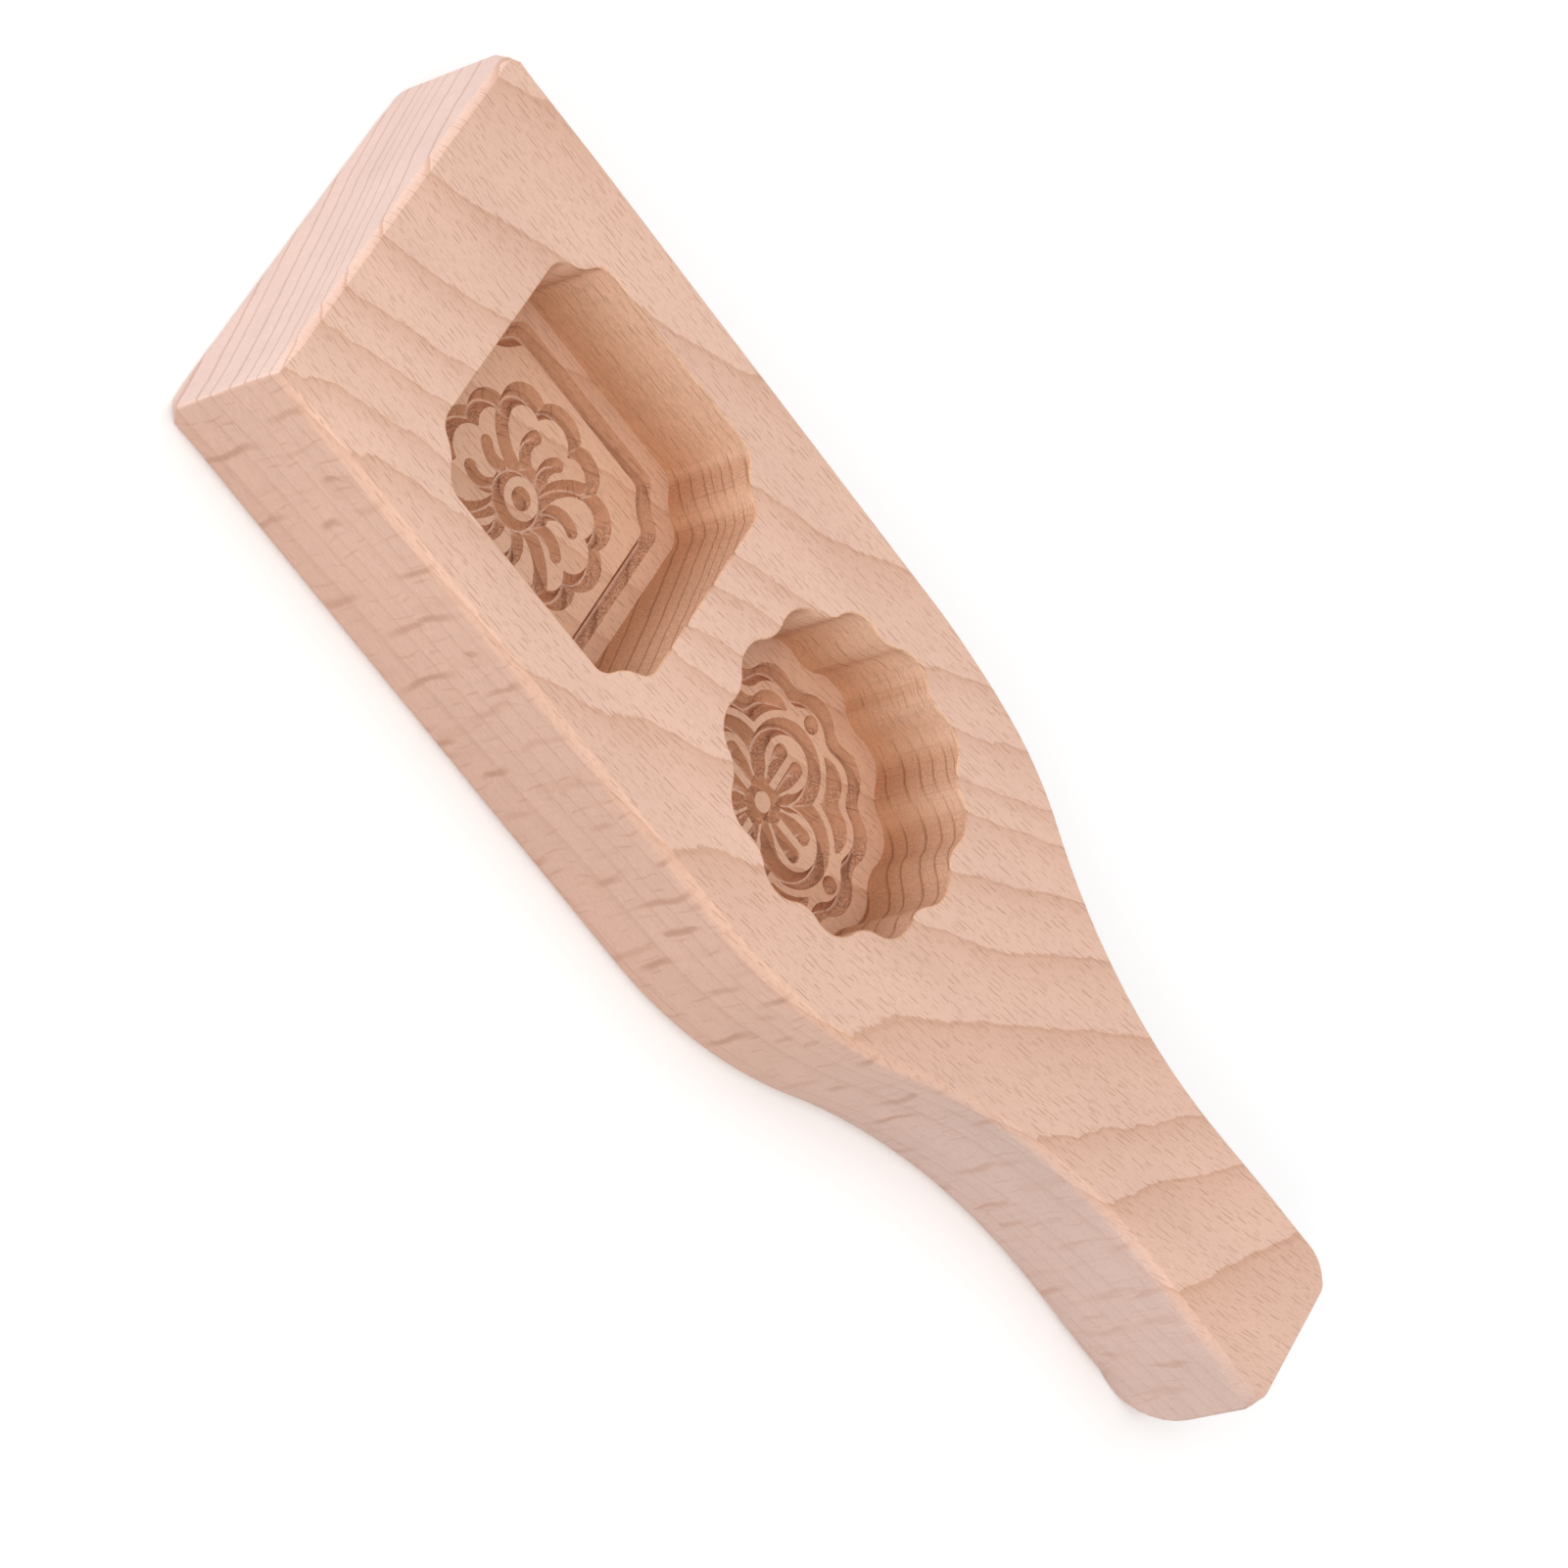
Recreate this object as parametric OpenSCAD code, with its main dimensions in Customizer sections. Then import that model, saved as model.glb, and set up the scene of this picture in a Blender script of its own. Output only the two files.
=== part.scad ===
// Wooden mould board for shaping filled cakes, cut from one piece of beech.
// A rectangular head holds a notched square cavity and a scalloped round cavity.
// Each floor is carved with a flower. The head narrows through a curved neck into a handle.
// Millimetres. The back lies on z = 0 and +X runs from the head towards the handle.
// The origin is under the middle of the board's length.

/* [Board] */
// Overall length from the head end to the handle end
board_l = 246; // [236:1:290]
// Width of the head
head_w = 80; // [74:1:96]
// Thickness of the board
board_t = 26.5; // [25:0.5:36]
// Bevel along all outer edges
edge = 1.1; // [0.5:0.1:2]

/* [Neck and handle] */
// Distance from the head end to the start of the shoulder curve
shoulder_x = 116; // [112:1:122]
// Radius of the convex shoulder curve
shoulder_r = 83; // [60:1:90]
// Radius of the hollow neck curve
neck_r = 109; // [80:1:115]
// Width at the narrowest place of the handle
waist_w = 30.5; // [26:0.5:36]
// Angle by which each handle side opens towards the end
flare = 1.5; // [0.5:0.1:2.5]
// Radius of the two corners at the handle end
end_r = 10; // [6:0.5:12]

/* [Cavities] */
// Depth from the top face to the cavity floors
cavity_d = 18.5; // [12:0.5:19]
// Distance from the head end to the centre of the square cavity
square_x = 53.5; // [50:0.5:55]
// Half of the square cavity's width
square_h = 26.7; // [26:0.1:28]
// Inset of the point of each corner notch of the square cavity
notch = 4.6; // [3.8:0.1:5.2]
// Radius of the rounds on both sides of each notch
notch_r = 3.8; // [3:0.1:4.5]
// Distance from the square cavity's centre to the round cavity's centre
pitch = 64.8; // [62:0.2:67]
// Radius of the round cavity at the crests of its scallops
crest_r = 26.8; // [26.4:0.1:27.6]
// Depth of the scallops
wave = 1.95; // [1.5:0.05:2.2]

/* [Carving] */
// Depth of the carving below the cavity floors
carve = 2; // [1.2:0.1:2.4]
// Width of the flat ledge between a cavity wall and the border groove
ledge = 3.1; // [2.6:0.1:3.3]
// Width of the border groove
groove = 3.1; // [2.6:0.1:3.3]

/* [Hidden] */
$fn = 96;
eps = 0.5;
clear = 2;
ease = 0.03;
lobes = 12;
lobe_a = 180 / lobes;

x_head = -board_l / 2;
x_end = board_l / 2;
half_h = head_w / 2;
half_w = waist_w / 2;
floor_z = board_t - cavity_d;

// Plan outline: straight side, shoulder arc, neck arc, flared side, corner arc.
// Neighbours cross by the small ease instead of only touching
turn = acos(1 - (half_h - half_w) / (shoulder_r + neck_r));
sh_x = x_head + shoulder_x;
mid_x = sh_x + shoulder_r * sin(turn);
mid_y = half_h - shoulder_r * (1 - cos(turn));
waist_x = sh_x + (shoulder_r + neck_r) * sin(turn);
neck_y = half_w + neck_r;
fl_x = waist_x + neck_r * sin(flare);
fl_y = neck_y - neck_r * cos(flare) + ease;
cor_x = x_end - end_r;
tan_x = cor_x - end_r * sin(flare);
tan_y = fl_y + (tan_x - fl_x) * tan(flare);
cor_y = tan_y - end_r * cos(flare);

module both_sides() {
    children();
    mirror([0, 1, 0]) children();
}

// Everything outside one side of the plan outline
module side_waste() {
    out_y = half_h + clear;
    run_x = x_end + clear;
    linear_extrude(board_t + 2 * clear) {
        difference() {
            translate([sh_x, 0]) square([mid_x - sh_x, out_y]);
            translate([sh_x, half_h - shoulder_r]) circle(shoulder_r + ease);
        }
        translate([waist_x, neck_y]) circle(neck_r);
        polygon([
            [fl_x, fl_y],
            [run_x, fl_y + (run_x - fl_x) * tan(flare)],
            [run_x, out_y],
            [fl_x, out_y]
        ]);
        difference() {
            translate([cor_x, cor_y]) square(end_r + clear);
            translate([cor_x, cor_y]) circle(end_r + ease);
        }
    }
}

module board() {
    difference() {
        linear_extrude(board_t) polygon([
            [x_head, edge - half_h],
            [x_head + edge, -half_h],
            [x_end, -half_h],
            [x_end, half_h],
            [x_head + edge, half_h],
            [x_head, half_h - edge]
        ]);
        both_sides() translate([0, 0, -clear]) side_waste();
    }
}

// Section of the cutter that bevels a top edge: x is the distance out from the edge
module bevel_section(out = 1) {
    polygon([
        [-out * (edge + eps), board_t + eps],
        [out * eps, board_t - edge - eps],
        [out * eps, board_t + eps]
    ]);
}

// Bevel cutter along a straight edge that leaves point p in direction a
module bevel_line(p, a, length) {
    translate(p) rotate([0, 0, a]) rotate([90, 0, 90]) linear_extrude(length) bevel_section();
}

// Bevel cutter along an arc round point c, outside or inside its radius
module bevel_arc(c, r, start, sweep, out) {
    translate(c) rotate([0, 0, start]) rotate_extrude(angle = sweep)
        translate([r, 0]) bevel_section(out);
}

module top_bevels() {
    past = 2 * clear;
    more = 2;
    run = (x_end + clear - fl_x) / cos(flare);
    diag = edge + past;
    translate([x_head, half_h + clear, 0]) rotate([0, 0, -90]) rotate([90, 0, 90])
        linear_extrude(head_w + past) mirror([1, 0]) bevel_section();
    translate([x_end, -tan_y - clear, 0]) rotate([90, 0, 0]) mirror([0, 0, 1])
        linear_extrude(2 * tan_y + past) bevel_section();
    both_sides() {
        bevel_line([x_head - clear, half_h, 0], 0, clear + shoulder_x + past);
        bevel_line([x_head - clear, half_h - edge - clear, 0], 45, diag * sqrt(2));
        bevel_arc([sh_x, half_h - shoulder_r, 0], shoulder_r + ease, 90 - turn, turn, 1);
        bevel_arc([waist_x, neck_y, 0], neck_r, 270 - turn - more, turn + flare + 2 * more, -1);
        bevel_line([fl_x, fl_y, 0], flare, run);
        bevel_arc([cor_x, cor_y, 0], end_r + ease, 0, 90 + flare, 1);
    }
}

// Square with rounded shoulders and a pointed notch in each corner
module notched(half, cut, r) {
    s = cut + (r + cut) * tan(30);
    t = s - r * cos(30);
    corner = [[0, s], [r / 2, t], [cut, cut], [t, r / 2], [s, 0]];
    ring = [
        for (k = [0:3]) for (p = corner)
            [
                (half - p[0]) * cos(90 * k) - (half - p[1]) * sin(90 * k),
                (half - p[0]) * sin(90 * k) + (half - p[1]) * cos(90 * k)
            ]
    ];
    polygon(ring);
    for (k = [0:3]) rotate(90 * k) {
        translate([half - r, half - s]) circle(r + ease);
        translate([half - s, half - r]) circle(r + ease);
    }
}

// Wavy round outline: crest arcs and valley arcs meet with a common tangent
module scalloped(crest, valley, r) {
    c = crest - r;
    num = r * r - c * c - valley * valley + 2 * c * valley * cos(lobe_a);
    v = num / (2 * (valley - c * cos(lobe_a) - r));
    d = valley + v;
    p = [c + (d * cos(lobe_a) - c) * r / (r + v), d * sin(lobe_a) * r / (r + v)];
    ring = [
        for (k = [0:lobes - 1]) for (s = [-1, 1])
            [
                p[0] * cos(2 * lobe_a * k) - s * p[1] * sin(2 * lobe_a * k),
                p[0] * sin(2 * lobe_a * k) + s * p[1] * cos(2 * lobe_a * k)
            ]
    ];
    difference() {
        union() {
            polygon(ring);
            for (k = [0:lobes - 1]) rotate(2 * lobe_a * k) translate([c, 0]) circle(r + ease);
        }
        for (k = [0:lobes - 1]) rotate(2 * lobe_a * (k + 0.5)) translate([d, 0]) circle(v);
    }
}

// Ring sector with round ends, round point c
module arc_slot(c, r, start, sweep, w) {
    far = 3 * r;
    translate(c) {
        intersection() {
            difference() {
                circle(r + w / 2);
                circle(r - w / 2);
            }
            polygon([
                [0, 0],
                far * [cos(start), sin(start)],
                far * [cos(start + sweep / 2), sin(start + sweep / 2)],
                far * [cos(start + sweep), sin(start + sweep)]
            ]);
        }
        for (a = [start, start + sweep]) translate(r * [cos(a), sin(a)]) circle(w / 2 + ease);
    }
}

// Flower outline with four petals of three round lobes
module lobe_ring(c, r) {
    petal_mid = 3.5;
    circle(c);
    for (q = [0:3]) for (a = [-27, 0, 32]) rotate(90 * q + petal_mid + a) translate([c, 0]) circle(r);
}

// Flower of the square cavity: two comma slots in each petal, gaps between petals, a pierced eye
module square_flower() {
    bed_c = 13.2;
    bed_r = 5.6;
    petal_c = 11.2;
    petal_r = 4.2;
    ring_r = 6.1;
    eye_r = 3.7;
    pip_r = 2;
    gap_a = 54.5;
    gap_w = 2.3;
    comma_r = 2.95;
    comma_w = 2.1;
    comma_from = 118;
    comma_sweep = 130;
    commas = [[-2, 8.3], [3.8, 7.9]];
    difference() {
        lobe_ring(bed_c, bed_r);
        difference() {
            lobe_ring(petal_c, petal_r);
            circle(ring_r);
            for (q = [0:3]) rotate(90 * q) {
                rotate(gap_a) translate([eye_r, -gap_w / 2]) square([bed_c, gap_w]);
                for (c = commas) arc_slot(c, comma_r, comma_from, comma_sweep, comma_w);
            }
        }
        difference() {
            circle(eye_r);
            circle(pip_r);
        }
    }
}

// Petal of the round flower: a drop with two slots and a rib between them
module drop_petal() {
    bulb_x = 8.8;
    bulb_r = 5;
    bulb_w = 4.2;
    hip = [5.6, 3.8];
    tip = [2.6, 2.4];
    slot_x = 9.8;
    slot_y = 1.95;
    slot_r = 1.25;
    slot_in = 2;
    slot_w = [0.8, 1.6];
    difference() {
        union() {
            translate([bulb_x, 0]) circle(bulb_r);
            polygon([
                [tip[0], -tip[1]],
                [hip[0], -hip[1]],
                [bulb_x, -bulb_w],
                [bulb_x, bulb_w],
                hip,
                tip
            ]);
        }
        for (s = [-1, 1]) {
            translate([slot_x, s * slot_y]) circle(slot_r + ease);
            polygon([
                [slot_in, s * slot_w[0]],
                [slot_x, s * (slot_y - slot_r)],
                [slot_x, s * (slot_y + slot_r)],
                [slot_in, s * slot_w[1]]
            ]);
        }
    }
}

// Flower of the round cavity: four arches with drop petals, corner cells, dots and an eye
module round_flower() {
    arch_x = 8.5;
    arch_r = 7.6;
    hoop_r = 8.9;
    eye_r = 1.75;
    dot_x = 18.4;
    dot_r = 1.6;
    cell_crest = 18.9;
    cell_valley = 17.2;
    cell_lobe = 4.3;
    cell_far = 22;
    cell_near = 7;
    difference() {
        for (q = [0:3]) rotate(90 * q) translate([arch_x, 0]) circle(arch_r);
        for (q = [0:3]) rotate(90 * q) drop_petal();
        circle(eye_r);
    }
    for (q = [0:3]) rotate(90 * q) {
        translate([dot_x, 0]) circle(dot_r);
        difference() {
            intersection() {
                scalloped(cell_crest, cell_valley, cell_lobe);
                polygon([[0, 0], [cell_far, cell_near], [cell_far, cell_far], [cell_near, cell_far]]);
            }
            translate([arch_x, 0]) circle(hoop_r);
            translate([0, arch_x]) circle(hoop_r);
        }
    }
}

// Cavities with their floors at z = 0
module square_cavity() {
    side_out = square_h - ledge;
    side_in = side_out - groove;
    linear_extrude(cavity_d + eps) notched(square_h, notch, notch_r);
    translate([0, 0, -carve]) linear_extrude(carve + eps) {
        difference() {
            notched(side_out, notch - 0.4, notch_r - 0.8);
            notched(side_in, notch - 1.2, notch_r - 2);
        }
        square_flower();
    }
}

module round_cavity() {
    lobe_rim = 6;
    lobe_out = 5.2;
    lobe_in = 4.6;
    crest_out = crest_r - ledge - 0.3;
    crest_in = crest_out - groove + 0.1;
    linear_extrude(cavity_d + eps) scalloped(crest_r, crest_r - wave, lobe_rim);
    translate([0, 0, -carve]) linear_extrude(carve + eps) {
        difference() {
            scalloped(crest_out, crest_out - wave, lobe_out);
            scalloped(crest_in, crest_in - wave + 0.3, lobe_in);
        }
        round_flower();
    }
}

module mold_body() {
    color([0.87, 0.71, 0.58]) difference() {
        board();
        top_bevels();
        translate([0, 0, board_t]) mirror([0, 0, 1]) top_bevels();
        translate([x_head + square_x, 0, floor_z]) square_cavity();
        translate([x_head + square_x + pitch, 0, floor_z]) round_cavity();
    }
}

mold_body();
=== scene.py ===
"""A carved beech mould board with two cavities, lying on a pale studio floor."""

import logging
import math
from collections.abc import Callable
from dataclasses import astuple, dataclass, field
from enum import Enum
from functools import reduce
from typing import Any, ClassVar

import bmesh
import bpy
import numpy as np
from mathutils import Matrix, Quaternion, Vector


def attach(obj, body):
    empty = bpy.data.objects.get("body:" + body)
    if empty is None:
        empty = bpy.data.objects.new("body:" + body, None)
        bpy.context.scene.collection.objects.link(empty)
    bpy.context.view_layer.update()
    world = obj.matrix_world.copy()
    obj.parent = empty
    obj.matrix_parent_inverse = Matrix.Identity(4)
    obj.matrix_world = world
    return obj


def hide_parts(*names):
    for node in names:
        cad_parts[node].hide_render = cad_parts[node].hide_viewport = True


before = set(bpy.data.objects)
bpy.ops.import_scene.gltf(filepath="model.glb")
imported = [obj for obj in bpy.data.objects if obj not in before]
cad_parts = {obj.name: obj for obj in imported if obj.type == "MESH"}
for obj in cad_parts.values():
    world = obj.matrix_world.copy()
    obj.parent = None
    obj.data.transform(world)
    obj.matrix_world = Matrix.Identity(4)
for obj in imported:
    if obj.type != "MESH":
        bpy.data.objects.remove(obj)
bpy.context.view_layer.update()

MM = 0.001
LOG = logging.getLogger("mould")
Array = np.ndarray
Shape = Callable[[Array, Array], Array]
Pair = tuple[float, float]
Triple = tuple[float, float, float]
Colour = tuple[float, float, float, float]
Mesh = bmesh.types.BMesh
Edge = bmesh.types.BMEdge
Vert = bmesh.types.BMVert
Face = bmesh.types.BMFace
Socket = bpy.types.NodeSocket
Value = Socket | float
# A distance well outside every shape, how near the long axis is on it, and a guard for divisions
OUTSIDE = -99.0
ON_AXIS = 1e-3
TINY = 1e-9


class Surface(Enum):
    """How a face of the board was worked; the value is its material place."""

    SANDED = 0
    WALL = 1
    FLOOR = 2
    CARVED = 3


# Plane distances, in millimetres. All of them are positive inside their shape.


def disc(x: Array, y: Array, cx: float, cy: float, r: float) -> Array:
    """Distance of points inside a disc."""
    return r - np.hypot(x - cx, y - cy)


def polygon(x: Array, y: Array, points: list[Pair]) -> Array:
    """Distance inside a polygon.

    Args:
        x, y: Points.
        points: Corners of the polygon, in order.

    Returns:
        The distance of each point inside the edge.
    """
    gap = np.full_like(x, 1e9)
    inside = np.zeros(x.shape, dtype=bool)
    for (ax, ay), (bx, by) in zip(points, points[1:] + points[:1]):
        ex, ey = bx - ax, by - ay
        t = np.clip(((x - ax) * ex + (y - ay) * ey) / (ex * ex + ey * ey), 0.0, 1.0)
        gap = np.minimum(gap, np.hypot(x - ax - t * ex, y - ay - t * ey))
        if ey != 0:
            inside ^= ((ay > y) != (by > y)) & (x < ax + (y - ay) / ey * ex)
    return np.where(inside, gap, -gap)


def turned(x: Array, y: Array, degrees: float) -> tuple[Array, Array]:
    """Coordinates of points in a frame that is turned about the origin."""
    c, s = math.cos(math.radians(degrees)), math.sin(math.radians(degrees))
    return c * x + s * y, c * y - s * x


def bent_slot(x: Array, y: Array, centre: Pair, r: float, start: float, sweep: float, w: float) -> Array:
    """Distance inside a slot that follows an arc and has round ends.

    Args:
        x, y: Points.
        centre: Centre of the arc.
        r: Radius of the arc.
        start, sweep: First angle and angle covered, in degrees.
        w: Width of the slot.

    Returns:
        The distance of each point inside the edge.
    """
    px, py = x - centre[0], y - centre[1]
    a = np.mod(np.degrees(np.arctan2(py, px)) - start, 360.0)
    along = np.abs(np.hypot(px, py) - r)
    ends = [math.radians(start), math.radians(start + sweep)]
    tip = np.minimum(*[np.hypot(px - r * math.cos(e), py - r * math.sin(e)) for e in ends])
    return w / 2 - np.where(a <= sweep, along, tip)


def notched(x: Array, y: Array, half: float, cut: float, r: float, soft: float = 1.2) -> Array:
    """Distance inside a square with rounded shoulders and a pointed notch in each corner.

    Args:
        x, y: Points.
        half: Half of the square's width.
        cut: Inset of the notch's point.
        r: Radius of the rounds on both sides of a notch.
        soft: Rounding of the notch's point.

    Returns:
        The distance of each point inside the edge.
    """
    u, v = half - np.abs(x), half - np.abs(y)
    a, b = np.minimum(u, v), np.maximum(u, v)
    s = cut + (r + cut) * math.tan(math.radians(30))
    lean = math.sqrt(3) / 2
    near = 0.5 * (a - r / 2) + lean * (b - (s - lean * r))
    far = 0.5 * (b - r / 2) + lean * (a - (s - lean * r))
    slope = near + 0.25 / soft * np.maximum(soft - (near - far), 0.0) ** 2
    pa, pb = r - a, s - b
    share = pb / lean
    in_round = (share > 0) & (pa - 0.5 * share > 0)
    return np.where(in_round, r - np.hypot(pa, pb), np.minimum(a, slope))


def scalloped(x: Array, y: Array, crest: float, valley: float, r: float, lobes: int = 12) -> Array:
    """Distance inside a round outline of crests and valleys that run into each other.

    Args:
        x, y: Points.
        crest, valley: Largest and smallest radius of the outline.
        r: Radius of a crest's own arc.
        lobes: Number of crests.

    Returns:
        The distance of each point inside the edge.
    """
    step = 2 * math.pi / lobes
    radius, angle = np.hypot(x, y), np.arctan2(y, x)
    folded = np.abs(angle - step * np.round(angle / step))
    px, py = radius * np.cos(folded), radius * np.sin(folded)
    c, ca, sa = crest - r, math.cos(step / 2), math.sin(step / 2)
    v = (r * r - c * c - valley * valley + 2 * c * valley * ca) / (2 * (valley - c * ca - r))
    vx, vy = (valley + v) * ca, (valley + v) * sa
    on_crest = (vx - c) * py - vy * (px - c) < 0
    return np.where(on_crest, r - np.hypot(px - c, py), np.hypot(px - vx, py - vy) - v)


def lobe_ring(x: Array, y: Array, core: float, lobes: tuple[Triple, ...]) -> Array:
    """Distance inside a flower outline whose lobes are repeated in each quarter.

    Args:
        x, y: Points.
        core: Radius of the disc that joins the lobes.
        lobes: Angle, distance from the middle and radius of each lobe of a quarter.

    Returns:
        The distance of each point inside the edge.
    """
    inside = disc(x, y, 0, 0, core)
    for quarter in range(4):
        for angle, away, r in lobes:
            t = math.radians(90 * quarter + angle)
            inside = np.maximum(inside, disc(x, y, away * math.cos(t), away * math.sin(t), r))
    return inside


def held(share: float) -> float:
    """Share that is held from 0 to 1."""
    return min(max(share, 0.0), 1.0)


def ease(share: float) -> float:
    """Smooth step of a share, held from 0 to 1."""
    share = held(share)
    return share * share * (3 - 2 * share)


def sharpen(edges: list[Edge]) -> None:
    """Let edges show as sharp folds."""
    for e in edges:
        e.smooth = False


def placed(bm: Mesh, name: str) -> bpy.types.Object:
    """Turn a finished mesh into an object of the scene.

    Args:
        bm: The mesh, in metres, which is used up.
        name: Name of the object.

    Returns:
        The object.
    """
    mesh = bpy.data.meshes.new(name)
    bm.to_mesh(mesh)
    bm.free()
    made = bpy.data.objects.new(name, mesh)
    bpy.context.scene.collection.objects.link(made)
    return made


def raise_loop(
    bm: Mesh, loop: list[Edge], notes: dict[Vert, Any]
) -> tuple[list[Edge], dict[Vert, Any], list[Face]]:
    """Draw a ring of edges out to the next row and hand on what is noted about its points.

    Args:
        bm: Mesh that is added to.
        loop: Edges of the ring.
        notes: What is noted about each vertex of the ring.

    Returns:
        The edges of the new ring, the notes on its vertices and the faces between both rings.
    """
    made = bmesh.ops.extrude_edge_only(bm, edges=loop)["geom"]
    fresh = [g for g in made if isinstance(g, Vert)]
    below = {v: next(o for o in (e.other_vert(v) for e in v.link_edges) if o in notes) for v in fresh}
    new = set(fresh)
    ring = [g for g in made if isinstance(g, Edge) and set(g.verts) <= new]
    faces = [g for g in made if isinstance(g, Face)]
    return ring, {v: notes[below[v]] for v in fresh}, faces


@dataclass
class Cavity:
    """A cavity with a carved floor. Sizes are in millimetres."""

    middle_x: float
    floor_z: float = 8.0
    top_z: float = 26.5
    reach: float = 27.5
    cell: float = 0.25
    rim_round: float = 0.3
    rim_rows: int = 4
    carve_slope: float = 1.45
    carve_depth: float = 2.1
    # How points are moved onto outlines, and how far off they count as outside or as level
    settle_steps: int = 4
    settle_most: float = 0.7
    slack: float = 0.02
    flat_gap: float = 1e-4
    # Half width of the painted highlight along the bottom of a groove, where it begins and how soon it is
    # full
    highlight_half: float = 0.22
    highlight_from: float = 0.35
    highlight_full: float = 0.25
    # Angles from which edges show as sharp folds
    crest_angle: float = 0.45
    fold_angle: float = 0.6

    def rim(self, x: Array, y: Array) -> Array:
        """Distance inside the rim."""
        raise NotImplementedError

    def carving(self, x: Array, y: Array) -> Array:
        """Distance inside the carved grooves of the floor."""
        raise NotImplementedError

    @staticmethod
    def slope_of(shape: Shape, x: Array, y: Array) -> tuple[Array, Array]:
        """Direction in which a distance grows fastest.

        Args:
            shape: Distance function of x and y.
            x, y: Points.

        Returns:
            The two parts of the direction at each point, of length one.
        """
        h = 0.02
        gx = shape(x + h, y) - shape(x - h, y)
        gy = shape(x, y + h) - shape(x, y - h)
        size = np.maximum(np.hypot(gx, gy), TINY)
        return gx / size, gy / size

    def valley(self, x: Array, y: Array) -> Array:
        """Share of the painted highlight along the bottom line of a groove.

        Args:
            x, y: Points from the cavity's middle.

        Returns:
            1 on the bottom line, falling to 0 beside it.
        """
        h = self.highlight_half
        gx = (self.carving(x + h, y) - self.carving(x - h, y)) / (2 * h)
        gy = (self.carving(x, y + h) - self.carving(x, y - h)) / (2 * h)
        inside = np.clip((self.carving(x, y) - self.highlight_from) / self.highlight_full, 0.0, 1.0)
        return inside * np.clip(1.0 - np.hypot(gx, gy), 0.0, 1.0)

    def settle(self, shape: Shape, x: Array, y: Array, near: Array) -> None:
        """Move the points that lie near an outline onto it.

        Args:
            shape: Distance function of the outline.
            x, y: Points, which are changed.
            near: Which of the points to move.
        """
        px, py = x[near], y[near]
        for _ in range(self.settle_steps):
            d = shape(px, py)
            gx, gy = self.slope_of(shape, px, py)
            px, py = px - d * gx, py - d * gy
        step = np.hypot(px - x[near], py - y[near])
        keep = np.minimum(1.0, self.settle_most * self.cell / np.maximum(step, TINY))
        x[near] += (px - x[near]) * keep
        y[near] += (py - y[near]) * keep

    def build(self, bm: Mesh) -> list[Edge]:
        """Add floor, wall and soft rim to a mesh, and give the edges of the rim."""
        return self.wall(bm, self.floor(bm))

    def floor(self, bm: Mesh) -> list[Edge]:
        """Add the carved floor, cut along the rim's outline.

        Args:
            bm: Mesh that is added to.

        Returns:
            The edges round the floor.
        """
        count = 2 * math.ceil(self.reach / self.cell)
        sheet = bmesh.ops.create_grid(bm, x_segments=count, y_segments=count, size=self.reach)
        verts = sheet["verts"]
        x = np.array([v.co.x for v in verts])
        y = np.array([v.co.y for v in verts])
        near = self.cell / 2
        on_rim = np.abs(self.rim(x, y)) < near
        self.settle(self.rim, x, y, on_rim)
        outside = (self.rim(x, y) < -self.slack) & ~on_rim
        on_edge = (np.abs(self.carving(x, y)) < near) & ~on_rim & ~outside
        self.settle(self.carving, x, y, on_edge)
        depth = np.clip(self.carve_slope * self.carving(x, y), 0.0, self.carve_depth)
        depth[on_edge | on_rim] = 0.0
        # The valley attribute carries the painted highlight along the bottoms of the grooves
        for v, vx, vy, d, line in zip(verts, x, y, depth, self.valley(x, y)):
            v.co = (vx + self.middle_x, vy, self.floor_z - d)
            v[bm.verts.layers.float["valley"]] = line
        kept = [v for v, on in zip(verts, on_rim | on_edge) if on]
        bmesh.ops.connect_verts(bm, verts=kept)
        bmesh.ops.delete(bm, geom=[v for v, out in zip(verts, outside) if out], context="VERTS")
        verts = [v for v in verts if v.is_valid]
        bmesh.ops.delete(bm, geom=[v for v in verts if not v.link_faces], context="VERTS")
        verts = [v for v in verts if v.is_valid]
        edges = list(dict.fromkeys(e for v in verts for e in v.link_edges))
        for e in edges:
            e.smooth = True
        crest = {v for v in kept if v.is_valid}
        for e in edges:
            if e.verts[0] in crest and e.verts[1] in crest and e.calc_face_angle(0.0) > self.crest_angle:
                e.smooth = False
        for face in {f for v in verts for f in v.link_faces}:
            flat = min(v.co.z for v in face.verts) > self.floor_z - self.flat_gap
            face.material_index = Surface.FLOOR.value if flat else Surface.CARVED.value
        return [e for e in edges if e.is_boundary]

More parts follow.
